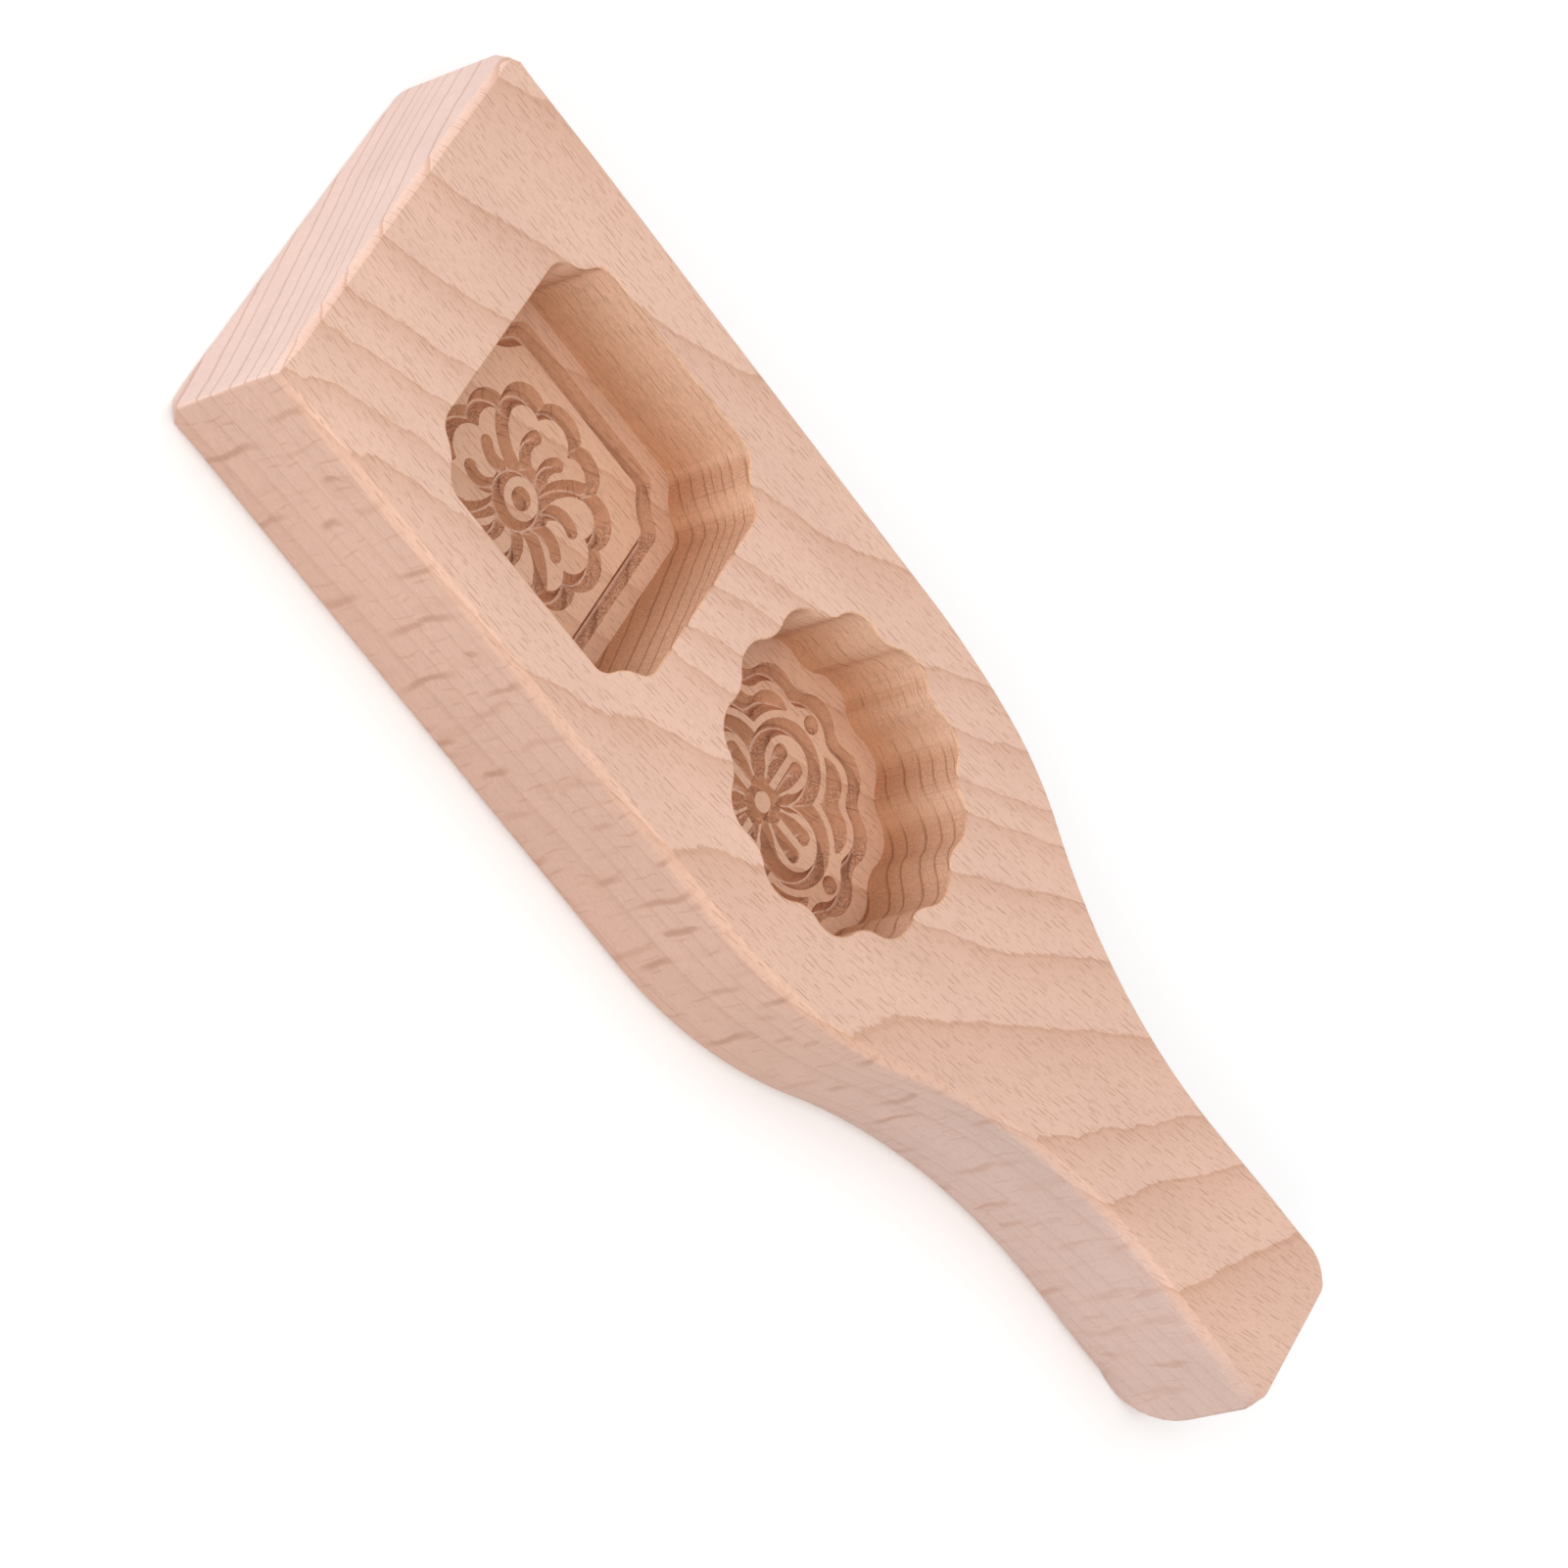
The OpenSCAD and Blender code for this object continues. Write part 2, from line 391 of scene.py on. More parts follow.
    def wall(self, bm: Mesh, loop: list[Edge]) -> list[Edge]:
        """Raise the wall from the floor's edge and round it over at the rim.

        Args:
            bm: Mesh that is added to.
            loop: Edges round the floor.

        Returns:
            The edges of the rim in the top face.
        """
        base = list(dict.fromkeys(v for e in loop for v in e.verts))
        x = np.array([v.co.x - self.middle_x for v in base])
        y = np.array([v.co.y for v in base])
        gx, gy = self.slope_of(self.rim, x, y)
        out = {v: (v.co.x, v.co.y, -a, -b) for v, a, b in zip(base, gx, gy)}
        rows = [(self.top_z - self.rim_round, 0.0)]
        for k in range(1, self.rim_rows + 1):
            a = math.radians(90 * k / self.rim_rows)
            down, spread = self.rim_round * (1 - math.sin(a)), self.rim_round * (1 - math.cos(a))
            rows.append((self.top_z - down, spread))
        sharpen(loop)
        for z, spread in rows:
            loop, out, faces = raise_loop(bm, loop, out)
            for v, (bx, by, nx, ny) in out.items():
                v.co = (bx + spread * nx, by + spread * ny, z)
            for face in faces:
                face.material_index = Surface.WALL.value
            ring = set(loop)
            for e in {e for v in out for e in v.link_edges} - ring:
                e.smooth = e.calc_face_angle(0.0) < self.fold_angle
            if spread == 0.0:
                sharpen(loop)
        sharpen(loop)
        return loop


@dataclass
class SquareCavity(Cavity):
    """The notched square cavity with the flower of comma slots."""

    half: float = 26.7
    notch: float = 4.6
    notch_r: float = 3.8
    ledge: float = 3.2
    groove: float = 3.1
    out_less: Pair = (0.4, 0.8)
    in_less: Pair = (1.2, 2.0)
    pad_at: Pair = (0.4, -0.45)
    flower_at: Pair = (0.1, -0.65)
    bed: tuple[Triple, ...] = ((34.4, 14.24, 4.95), (4.6, 13.64, 5.45), (-24.1, 13.7, 4.7))
    bed_core: float = 13.2
    petals: tuple[Triple, ...] = ((33.5, 12.2, 3.2), (6.2, 12.0, 3.9), (-24.7, 11.95, 3.15))
    petal_core: float = 11.6
    heart_r: float = 6.1
    eye_out: float = 3.6
    eye_in: float = 2.0
    # Centre, radius, first angle, angle and width of the comma slots in a quarter
    slots: tuple[tuple[Pair, float, float, float, float], ...] = (
        ((-0.64, 8.46), 3.76, 150, 88, 2.5),
        ((4.64, 7.45), 4.0, 133, 80, 2.5),
        ((13.8, 1.75), 10.95, 112, 56, 2.8),
    )

    def rim(self, x: Array, y: Array) -> Array:
        """Distance inside the notched rim."""
        return notched(x, y, self.half, self.notch, self.notch_r)

    def carving(self, x: Array, y: Array) -> Array:
        """Distance inside the border groove and the flower.

        Args:
            x, y: Points from the cavity's middle.

        Returns:
            The distance of each point inside the carving.
        """
        side = self.half - self.ledge
        px, py = x - self.pad_at[0], y - self.pad_at[1]
        (out_cut, out_r), (in_cut, in_r) = self.out_less, self.in_less
        outer = notched(x, y, side, self.notch - out_cut, self.notch_r - out_r)
        inner = notched(px, py, side - self.groove, self.notch - in_cut, self.notch_r - in_r)
        border = np.minimum(outer, -inner)
        return np.maximum(border, self.flower(x - self.flower_at[0], y - self.flower_at[1]))

    def flower(self, x: Array, y: Array) -> Array:
        """Distance inside the carved ground of the flower.

        Args:
            x, y: Points from the flower's middle.

        Returns:
            The distance of each point inside the ground.
        """
        wood = np.minimum(lobe_ring(x, y, self.petal_core, self.petals), -disc(x, y, 0, 0, self.heart_r))
        for quarter in range(4):
            qx, qy = turned(x, y, 90 * quarter)
            for slot in self.slots:
                wood = np.minimum(wood, -bent_slot(qx, qy, *slot))
        radius = np.hypot(x, y)
        eye = np.minimum(self.eye_out - radius, radius - self.eye_in)
        return np.minimum(np.minimum(lobe_ring(x, y, self.bed_core, self.bed), -wood), -eye)


@dataclass
class RoundCavity(Cavity):
    """The scalloped round cavity with the flower of drop petals."""

    crest: float = 26.8
    wave: float = 1.95
    lobe: float = 6.0
    flower_at: Pair = (0.15, -1.08)
    border_out: Triple = (23.5, 21.55, 5.2)
    border_in: Triple = (20.4, 18.75, 4.6)
    cell_out: Triple = (18.9, 17.2, 4.3)
    # Lean of the corner cells' straight sides, and the share that makes it a true distance
    cell_lean: float = 7 / 22
    cell_fall: float = 0.953
    arch_at: float = 8.6
    arch_in: float = 7.9
    arch_out: float = 9.1
    dot_at: float = 18.4
    dot_r: float = 1.6
    eye_r: float = 1.75
    ground_r: float = 3.9
    # Size, number and start of the waves round the uneven ground
    ground_waves: tuple[Triple, ...] = ((0.4, 3, 0.6), (0.35, 5, 2.2))
    # Radius round the flower's eye inside which the painted groove highlight is left out
    highlight_clear_r: float = 4.2
    drop_disc: Triple = (8.95, 0, 4.8)
    slot_disc: Triple = (9.75, 2.05, 1.4)
    waist: tuple[Pair, ...] = ((2.6, 1.75), (5.1, 2.95), (7.8, 4.6), (9.6, 4.6))
    slot: tuple[Pair, ...] = (
        (2.8, 0.75), (10.0, 0.68), (10.0, 3.42), (9.4, 3.45), (6.5, 3.0), (4.2, 2.0), (2.8, 1.2)
    )

    def rim(self, x: Array, y: Array) -> Array:
        """Distance inside the scalloped rim."""
        return scalloped(x, y, self.crest, self.crest - self.wave, self.lobe)

    def carving(self, x: Array, y: Array) -> Array:
        """Distance inside the border groove and the flower.

        Args:
            x, y: Points from the cavity's middle.

        Returns:
            The distance of each point inside the carving.
        """
        x, y = x - self.flower_at[0], y - self.flower_at[1]
        border = np.minimum(scalloped(x, y, *self.border_out), -scalloped(x, y, *self.border_in))
        arches, extras = np.full_like(x, OUTSIDE), np.full_like(x, OUTSIDE)
        petals = disc(x, y, 0, 0, self.eye_r)
        outer = scalloped(x, y, *self.cell_out)
        for quarter in range(4):
            qx, qy = turned(x, y, 90 * quarter)
            arches = np.maximum(arches, disc(qx, qy, self.arch_at, 0, self.arch_in))
            petals = np.maximum(petals, self.drop(qx, np.abs(qy)))
            extras = np.maximum(extras, disc(qx, qy, self.dot_at, 0, self.dot_r))
            wedge = np.minimum(qx - self.cell_lean * qy, qy - self.cell_lean * qx) * self.cell_fall
            cell = np.minimum(np.minimum(outer, wedge), -disc(qx, qy, self.arch_at, 0, self.arch_out))
            extras = np.maximum(extras, np.minimum(cell, -disc(qx, qy, 0, self.arch_at, self.arch_out)))
        radius, turn = np.hypot(x, y), np.arctan2(y, x)
        reach = self.ground_r
        for size, count, start in self.ground_waves:
            reach = reach + size * np.sin(count * turn + start)
        sunk = np.minimum(reach - radius, radius - self.eye_r)
        return np.maximum(np.maximum(border, extras), np.maximum(np.minimum(arches, -petals), sunk))

    def valley(self, x: Array, y: Array) -> Array:
        """Share of the painted highlight along the bottom line of a groove, away from the flower's eye."""
        radius = np.hypot(x - self.flower_at[0], y - self.flower_at[1])
        return super().valley(x, y) * np.clip(radius - self.highlight_clear_r, 0.0, 1.0)

    def drop(self, x: Array, y: Array) -> Array:
        """Distance inside a drop petal that points along +X, without its two slots.

        Args:
            x, y: Points, with y folded to one side.

        Returns:
            The distance of each point inside the petal's wood.
        """
        sides = [(px, -py) for px, py in self.waist] + list(reversed(self.waist))
        body = np.maximum(disc(x, y, *self.drop_disc), polygon(x, y, sides))
        slot = np.maximum(disc(x, y, *self.slot_disc), polygon(x, y, list(self.slot)))
        return np.minimum(body, -slot)


@dataclass(frozen=True)
class EdgeForm:
    """How far the lower edge is sanded round and the upper one bevelled. Sizes are in millimetres."""

    low_in: float
    low_up: float
    top_in: float
    top_down: float
    toe: float = 0.0
    bevel: float = 0.75
    uprights: ClassVar[Pair] = (0.2, 0.88)

    def mixed(self, other: "EdgeForm", share: float) -> "EdgeForm":
        """Form that has a share of another one."""
        return EdgeForm(*(a + (b - a) * share for a, b in zip(astuple(self), astuple(other))))

    def row(self, number: int, steps: int, thick: float) -> Triple:
        """Place of one row of points.

        Args:
            number: Number of the row, from the back up.
            steps: Number of steps in each edge.
            thick: Thickness of the board.

        Returns:
            The inset from the outline, the shift towards the head and the height.
        """
        if number <= steps:
            a = math.radians(90 * number / steps)
            away = 1 - math.sin(a)
            return self.low_in * away, self.toe * away, self.low_up * (1 - math.cos(a))
        if number <= steps + 2:
            upright = thick - self.low_up - self.top_down
            return 0.0, 0.0, self.low_up + upright * self.uprights[number - steps - 1]
        share = (number - steps - 3) / steps
        a = math.radians(90 * share)
        inset = self.bevel * share + (1 - self.bevel) * (1 - math.cos(a))
        down = self.bevel * (1 - share) + (1 - self.bevel) * (1 - math.sin(a))
        return self.top_in * inset, 0.0, thick - self.top_down * down


@dataclass(frozen=True)
class Facet:
    """A corner of the board that is sanded flat. Sizes are in millimetres."""

    corner: Triple
    cuts: Triple

    def press(self, spot: Vector) -> Vector:
        """Move a point that stands out of the facet down onto it.

        Args:
            spot: The point.

        Returns:
            The point on the facet, or the same point where it lies below.
        """
        inward = Vector([1 / cut for cut in self.cuts])
        depth = inward.dot(spot - Vector(self.corner)) - 1
        return spot - inward * min(depth, 0.0) / inward.length_squared


@dataclass
class MouldBoard:
    """The whole board: plan outline, soft edges and both cavities. Sizes are in millimetres."""

    length: float = 246.0
    head_w: float = 80.0
    thick: float = 26.5
    edge_rows: int = 7
    near_edge: EdgeForm = EdgeForm(2.3, 2.3, 1.5, 1.5)
    far_edge: EdgeForm = EdgeForm(2.3, 2.3, 1.0, 1.0)
    head_edge: EdgeForm = EdgeForm(0.7, 0.7, 1.15, 1.15)
    end_edge: EdgeForm = EdgeForm(1.1, 10.5, 0.4, 0.6, toe=8.5)
    head_corner: EdgeForm = EdgeForm(0.6, 3.0, 0.6, 1.2)
    handle_end: EdgeForm = EdgeForm(1.1, 10.5, 1.15, 3.0, toe=8.5)
    facets: tuple[Facet, ...] = (
        Facet((-123.0, 40.0, 26.5), (3.0, -4.5, -3.5)),
        Facet((-123.0, -40.0, 0.0), (4.6, 4.6, 4.6)),
        Facet((123.0, -16.3, 26.5), (-3.2, 3.6, -4.5)),
    )
    head_corner_r: float = 0.65
    # Taper of the sides: its most, where it starts and how long it runs; the far one fades again
    far_taper: float = 1.6
    far_run: Pair = (-100.0, 100.0)
    far_fade: Pair = (2.0, 30.0)
    near_taper: float = 0.7
    near_run: Pair = (-7.0, 116.0)
    shoulder_at: float = 116.0
    shoulder_r: float = 83.0
    neck_r: float = 109.0
    waist_w: float = 30.5
    flare: float = 1.5
    end_r: float = 1.2
    end_round: Pair = (6.8, 0.43)
    end_blend: float = 18.0
    corner_blend: float = 8.0
    spine: Pair = (-80.0, 100.0)
    size_jump: float = 12.0
    flat_angle: float = 0.05
    # Steps of head corner, shoulder, neck and end corner, and cuts of the straight lines between
    arc_steps: tuple[int, int, int, int] = (8, 20, 24, 12)
    line_cuts: tuple[int, int, int, int] = (22, 56, 36, 18)
    square_at: float = 53.5
    pitch: float = 64.8
    cavities: list[Cavity] = field(init=False)

    def __post_init__(self) -> None:
        """Place the two cavities along the board."""
        first = self.square_at - self.length / 2
        self.cavities = [SquareCavity(middle_x=first), RoundCavity(middle_x=first + self.pitch)]

    @staticmethod
    def sweep(bm: Mesh, vert: Vert, centre: Pair, degrees: float, steps: int) -> Vert:
        """Draw an arc on from a vertex.

        Args:
            bm: Mesh that is added to.
            vert: Start of the arc.
            centre: Centre of the arc.
            degrees: Angle of the arc, positive to the left.
            steps: Number of edges.

        Returns:
            The last vertex of the arc.
        """
        made = bmesh.ops.spin(
            bm, geom=[vert], cent=(*centre, 0), axis=(0, 0, 1), angle=math.radians(degrees), steps=steps
        )
        return next(g for g in made["geom_last"] if isinstance(g, Vert))

    def outline(self, bm: Mesh) -> None:
        """Draw the plan outline as a closed ring of edges on the back plane.

        Args:
            bm: Empty mesh that is added to.
        """
        x0, x1 = -self.length / 2, self.length / 2
        half_h, half_w = self.head_w / 2, self.waist_w / 2
        turn = math.acos(1 - (half_h - half_w) / (self.shoulder_r + self.neck_r))
        lean = math.radians(self.flare)
        sh_x = x0 + self.shoulder_at
        waist = (sh_x + (self.shoulder_r + self.neck_r) * math.sin(turn), half_w + self.neck_r)
        fl_x = waist[0] + self.neck_r * math.sin(lean)
        fl_y = waist[1] - self.neck_r * math.cos(lean)
        cor_x = x1 - self.end_r
        tan_x = cor_x - self.end_r * math.sin(lean)
        tan_y = fl_y + (tan_x - fl_x) * math.tan(lean)
        cor_y = tan_y - self.end_r * math.cos(lean)
        r = self.head_corner_r
        corner_steps, shoulder_steps, neck_steps, end_steps = self.arc_steps
        start, edge = bm.verts.new((x0, 0, 0)), bm.verts.new((x0, half_h - r, 0))
        straight = [bm.edges.new((start, edge))]
        corner = self.sweep(bm, edge, (x0 + r, half_h - r), -90, corner_steps)
        shoulder = bm.verts.new((sh_x, half_h, 0))
        straight.append(bm.edges.new((corner, shoulder)))
        shoulder_mid = (sh_x, half_h - self.shoulder_r)
        mid = self.sweep(bm, shoulder, shoulder_mid, -math.degrees(turn), shoulder_steps)
        low = self.sweep(bm, mid, waist, math.degrees(turn) + self.flare, neck_steps)
        side = bm.verts.new((tan_x, tan_y, 0))
        straight.append(bm.edges.new((low, side)))
        end = self.sweep(bm, side, (cor_x, cor_y), -90 - self.flare, end_steps)
        straight.append(bm.edges.new((end, bm.verts.new((x1, 0, 0)))))
        for line, cuts in zip(straight, self.line_cuts):
            bmesh.ops.subdivide_edges(bm, edges=[line], cuts=cuts)
        whole = bm.verts[:] + bm.edges[:]
        bmesh.ops.mirror(bm, geom=whole, matrix=Matrix.Identity(4), merge_dist=ON_AXIS, axis="Y")

    def edge_form(self, x: float, y: float, end_share: float) -> EdgeForm:
        """How the edges are rounded at a point of the outline.

        Args:
            x, y: The point.
            end_share: 1 on the two ends of the board, 0 on its long sides.

        Returns:
            The form of the edges.
        """
        half = self.length / 2
        side = self.far_edge if y > 0 else self.near_edge
        form = side.mixed(self.handle_end, ease((x - half) / self.end_blend + 1))
        form = form.mixed(self.head_edge if x < 0 else self.end_edge, end_share)
        head_gap = math.hypot(x + half, abs(y) - self.head_w / 2)
        return form.mixed(self.head_corner, ease(1 - head_gap / self.corner_blend))

    def hewn(self, x: float, y: float) -> float:
        """Place across the board, as its sides aren't quite parallel and its far end is rounded.

        Args:
            x, y: Point of the even outline.

        Returns:
            The new y.
        """
        if y <= 0:
            start, run = self.near_run
            return y * (1 - 2 * self.near_taper * held((start - x) / run) / self.head_w)
        (start, run), (fade_at, fade) = self.far_run, self.far_fade
        taper = self.far_taper * held((x - start) / run) * (1 - ease((x - fade_at) / fade))
        share = 1 - 2 * taper / self.head_w
        along, most = self.end_round
        turn = held((x - self.length / 2) / along + 1)
        share *= 1 - most * (1 - math.sqrt(1 - turn**2))
        return y * share

    def rows(self, bm: Mesh) -> list[Edge]:
        """Raise the outline row by row into the back, the sides and both rounded edges.

        Args:
            bm: Mesh that holds the outline.

        Returns:
            The edges round the top face.
        """
        notes = {}
        for v in bm.verts:
            first, second = (e.other_vert(v).co for e in v.link_edges)
            inward = Vector((first.y - second.y, second.x - first.x, 0)).normalized()
            middle = Vector((min(max(v.co.x, self.spine[0]), self.spine[1]), 0, 0))
            inward *= math.copysign(1.0, inward.dot(middle - v.co))
            notes[v] = (v.co.copy(), inward, self.edge_form(v.co.x, v.co.y, inward.x**2))
        loop = bm.edges[:]
        for number in range(2 * self.edge_rows + 4):
            if number > 0:
                loop, notes, _ = raise_loop(bm, loop, notes)
            for v, (place, inward, form) in notes.items():
                inset, shift, height = form.row(number, self.edge_rows, self.thick)
                spot = place + inset * inward
                v.co = (spot.x - shift, self.hewn(spot.x, spot.y), height)
                for facet in self.facets:
                    v.co = facet.press(v.co)
            if number == 0:
                bmesh.ops.contextual_create(bm, geom=loop)
        return loop

    @staticmethod
    def top_face(bm: Mesh, loops: list[list[Edge]]) -> None:
        """Close the top face round both rims, in two halves that meet on the long axis.

        Args:
            bm: Mesh that is added to.
            loops: Edges of the board's outline and of the rims, from the head on.
        """
        ends = []
        for loop in loops:
            axis = sorted((v for e in loop for v in e.verts if abs(v.co.y) < ON_AXIS), key=lambda v: v.co.x)
            ends.append((axis[0], axis[-1]))
        stops = [ends[0][0], *(v for pair in ends[1:] for v in pair), ends[0][1]]
        seams = [bm.edges.new(pair) for pair in zip(stops[0::2], stops[1::2])]
        for side in (1, -1):
            half = [e for loop in loops for e in loop if all(side * v.co.y > -ON_AXIS for v in e.verts)]
            made = bmesh.ops.contextual_create(bm, geom=half + seams)["faces"]
            bmesh.ops.triangulate(bm, faces=made, quad_method="BEAUTY", ngon_method="BEAUTY")

    def build(self) -> bpy.types.Object:
        """Model the board and put it in the scene.

        Returns:
            The board's object, with its place in its mesh.
        """
        bm = bmesh.new()
        # Share of the painted highlight along groove bottoms, for each vertex
        bm.verts.layers.float.new("valley")
        self.outline(bm)
        loops = [self.rows(bm)]
        for e in bm.edges:
            areas = sorted(f.calc_area() for f in e.link_faces)
            e.smooth = len(areas) == 2 and (
                areas[1] < self.size_jump * areas[0] or e.calc_face_angle(0.0) < self.flat_angle
            )
        loops += [cavity.build(bm) for cavity in self.cavities]
        self.top_face(bm, loops)
        bmesh.ops.recalc_face_normals(bm, faces=bm.faces[:])
        for f in bm.faces:
            f.smooth = True
        open_edges = sum(1 for e in bm.edges if len(e.link_faces) != 2)
        LOG.info("board has %d faces and %d open edges", len(bm.faces), open_edges)
        bmesh.ops.scale(bm, vec=(MM, MM, MM), verts=bm.verts[:])
        return placed(bm, "mould_board")

    def dress(self, board: bpy.types.Object) -> None:
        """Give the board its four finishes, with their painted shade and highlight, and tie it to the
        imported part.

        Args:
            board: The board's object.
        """
        figure = BeechFigure().group()
        for finish_and_shade in FINISHES_AND_SHADE:
            board.data.materials.append(finish_and_shade.material(figure))
        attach(board, "root")
        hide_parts("mold_body")


class Axis(Enum):
    """Axes of the plank."""

    ALONG = 0
    ACROSS = 1
    UP = 2


@dataclass(frozen=True)
class Noise:
    """Kind of noise in the wood. Its scale is in millimetres."""

    scale: Triple
    detail: float = 2.0
    rough: float = 0.5
    swing: float = 1.0


@dataclass(frozen=True)
class Dash:
    """Kind of fine dash in the wood. Cell, longest length and width are in millimetres."""

    cell: Triple
    length: float
    width: float
    along: Axis = Axis.ALONG
    thin: Axis = Axis.ACROSS
    soft: float = 0.5
    rim: float = 1.3
    spread: Pair = (0.35, 0.15)
    faint: float = 0.25


class NodeKit:
    """Short ways to place and link shader nodes in one tree."""

    def __init__(self, tree: bpy.types.NodeTree) -> None:
        """Keep the tree that nodes go into."""
        self.tree = tree

    @classmethod
    def of(cls, owner: bpy.types.Material | bpy.types.World) -> "NodeKit":
        """Clear the nodes of a material or a world.

        Args:
            owner: The material or the world.
        """
        owner.use_nodes = True
        owner.node_tree.nodes.clear()
        return cls(owner.node_tree)

    def add(self, kind: str, given: dict[Any, Any] | None = None, **options: Any) -> bpy.types.Node:
        """Place a node, set its options and fill its inputs.

        Args:
            kind: Type name of the node.
            given: Sockets to link from or plain values, by the name or number of the input.
            options: Options of the node.

        Returns:
            The node.
        """
        node = self.tree.nodes.new(kind)
        for name, option in options.items():
            setattr(node, name, option)
        for place, value in (given or {}).items():
            if isinstance(value, Socket):
                self.tree.links.new(value, node.inputs[place])
            else:
                node.inputs[place].default_value = value
        return node

    def math(self, operation: str, *values: Value) -> Socket:
        """Work out a number from sockets or plain numbers."""
        return self.add("ShaderNodeMath", dict(enumerate(values)), operation=operation).outputs[0]

    def chain(self, operation: str, values: tuple[Value, ...]) -> Value:
        """Join several numbers by one operation, from the first on."""
        return reduce(lambda first, second: self.math(operation, first, second), values)

    def total(self, *values: Value) -> Value:
        """Add several numbers up."""
        return self.chain("ADD", values)

    def times(self, *values: Value) -> Value:
        """Multiply several numbers."""
        return self.chain("MULTIPLY", values)

    def most(self, *values: Value) -> Value:
        """Largest of several numbers."""
        return self.chain("MAXIMUM", values)

    def line(self, value: Value, slope: Value, start: Value) -> Socket:
        """Straight rise of a number: the number times a slope, from a start on."""
        return self.math("MULTIPLY_ADD", value, slope, start)

    def vector(self, operation: str, first: Socket, second: Any) -> Socket:
        """Work out a vector from a vector and another one, or a number to scale it by."""
        given = {0: first, "Scale" if operation == "SCALE" else 1: second}
        return self.add("ShaderNodeVectorMath", given, operation=operation).outputs[0]

    def axes(self, vector: Socket) -> tuple[Socket, ...]:
        """Split a vector into its three numbers."""
        return tuple(self.add("ShaderNodeSeparateXYZ", {0: vector}).outputs)

    def point(self, x: Value, y: Value = 0.0, z: Value = 0.0) -> Socket:
        """Join three numbers to a vector."""
        return self.add("ShaderNodeCombineXYZ", {0: x, 1: y, 2: z}).outputs[0]

    def bow(self, value: Socket, shares: Triple) -> Socket:
        """Sum of a constant, a number and its square, each by its share."""
        return self.line(value, self.line(value, shares[2], shares[1]), shares[0])

    def ramp(self, value: Value, low: float, high: float) -> Socket:
        """Smooth step of a number from 0 at low to 1 at high."""
        given = {"Value": value, "From Min": low, "From Max": high}
        return self.add("ShaderNodeMapRange", given, interpolation_type="SMOOTHSTEP").outputs[0]

    def noise(self, vector: Socket, kind: Noise) -> Socket:
        """Noise that is stretched along the axes.

        Args:
            vector: Socket of the place, in millimetres.
            kind: Kind of noise.

        Returns:
            The noise's socket.
        """
        place = self.vector("DIVIDE", vector, kind.scale)
        given = {"Vector": place, "Scale": 1.0, "Detail": kind.detail, "Roughness": kind.rough}
        return self.add("ShaderNodeTexNoise", given, noise_dimensions="3D").outputs[0]

    def sway(self, vector: Socket, kind: Noise) -> Value:
        """Noise that swings to both sides of zero."""
        return self.times(self.math("SUBTRACT", self.noise(vector, kind), 0.5), kind.swing)

    def dashes(self, vector: Socket, kind: Dash) -> Value:
        """Separate fine dashes, one in each cell of a scattered pattern.

        Args:
            vector: Socket of the place, in millimetres.
            kind: Kind of dash.

        Returns:
            The socket of the dashes' mask.
        """
        along, thin = kind.along.value, kind.thin.value
        place = self.vector("DIVIDE", vector, kind.cell)
        given = {"Vector": place, "Scale": 1.0}
        cells = self.add("ShaderNodeTexVoronoi", given, voronoi_dimensions="3D", feature="F1")
        gaps = self.axes(self.vector("SUBTRACT", place, cells.outputs["Position"]))
        chance = self.add("ShaderNodeSeparateColor", {0: cells.outputs["Color"]}).outputs
        most, least = (share * kind.length / kind.cell[along] for share in kind.spread)
        half = self.line(chance[0], most, least)
        run = self.math("DIVIDE", self.math("ABSOLUTE", gaps[along]), half)
        side = self.times(self.math("ABSOLUTE", gaps[thin]), 2 * kind.cell[thin] / kind.width)
        mask = self.times(self.ramp(run, 1.0, kind.soft), self.ramp(side, kind.rim, kind.soft))
        return self.times(mask, self.line(chance[1], 1 - kind.faint, kind.faint))

    def seen(self) -> Value:
        """Number that is 1 for rays to the camera, straight or by way of a mirror or glass."""
        rays = self.add("ShaderNodeLightPath").outputs
        return self.most(*(rays[f"Is {kind} Ray"] for kind in ("Camera", "Glossy", "Transmission")))

    def blend(self, factor: Value, first: Any, second: Any, mode: str = "MIX") -> Socket:
        """Mix two colours, which are sockets or plain; the factor is the share of the second one."""
        given = {0: factor, 6: first, 7: second}
        return self.add("ShaderNodeMix", given, data_type="RGBA", blend_type=mode).outputs[2]


